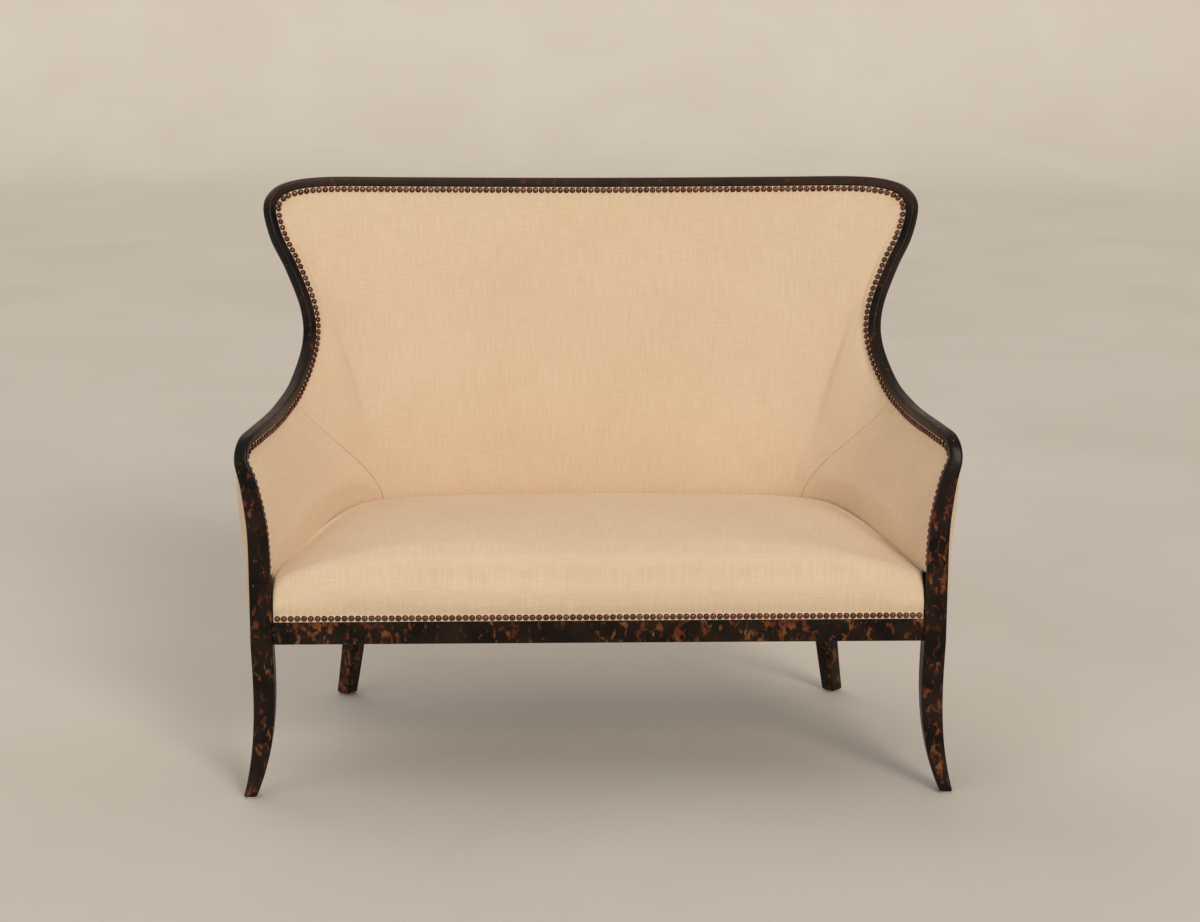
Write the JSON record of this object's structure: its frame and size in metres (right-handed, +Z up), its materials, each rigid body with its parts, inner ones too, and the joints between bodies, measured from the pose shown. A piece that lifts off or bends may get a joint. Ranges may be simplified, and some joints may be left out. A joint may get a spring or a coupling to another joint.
{
  "type": "settee",
  "caption": "Winged two-seat settee: one continuous dark show-wood moulding runs up the posts, along arms, wings and crest, over nailed linen covers and a tight seat.",
  "frame": {"origin": "centre of the footprint on the floor", "axes": "+X runs along the seat to the sitter's left, +Y points to the back, +Z up"},
  "size_m": [1.2858, 0.6541, 1.0355],
  "materials": {
    "show_wood": "ebonised and mottled, satin lacquer",
    "frame_timber": "bare sawn beech",
    "linen": "slubbed plain weave in oatmeal",
    "wadding": "soft white wadding",
    "foam": "soft upholstery foam",
    "hessian": "coarse jute weave",
    "webbing": "jute webbing",
    "dust_cloth": "black spun cloth",
    "bronze_nail": "antique bronze, domed and worn",
    "screw_steel": "zinc plated",
    "glide_plastic": "moulded nylon"
  },
  "bodies": {
    "root": {"left_front_leg_post": "show_wood", "right_front_leg_post": "show_wood", "left_arm_rail": "show_wood", "right_arm_rail": "show_wood", "left_wing_rail": "show_wood", "right_wing_rail": "show_wood", "crest_rail": "show_wood", "front_seat_rail": "show_wood", "left_side_rail": "frame_timber", "right_side_rail": "frame_timber", "back_seat_rail": "frame_timber", "left_rear_leg": "show_wood", "right_rear_leg": "show_wood", "left_back_upright": "frame_timber", "right_back_upright": "frame_timber", "left_waist_stud": "frame_timber", "right_waist_stud": "frame_timber", "back_tack_rail": "frame_timber", "left_arm_tack_rail": "frame_timber", "right_arm_tack_rail": "frame_timber", "tack_rail_risers": "frame_timber", "seat_stretcher": "frame_timber", "front_corner_blocks": "frame_timber", "rear_corner_blocks": "frame_timber", "corner_block_screws": "screw_steel", "frame_dowels": "frame_timber", "long_straps": "webbing", "cross_straps": "webbing", "seat_hessian": "hessian", "seat_foam": "foam", "seat_cover": "linen", "back_hessian": "hessian", "back_pad": "wadding", "inside_back_cover": "linen", "left_arm_pad": "wadding", "right_arm_pad": "wadding", "left_inside_arm_cover": "linen", "right_inside_arm_cover": "linen", "left_outside_arm_cover": "linen", "right_outside_arm_cover": "linen", "outside_back_cover": "linen", "front_nail_band": "linen", "front_nails": "bronze_nail", "left_side_nails": "bronze_nail", "right_side_nails": "bronze_nail", "crest_nails": "bronze_nail", "dust_cover": "dust_cloth", "glides": "glide_plastic"}
  },
  "joints": []
}
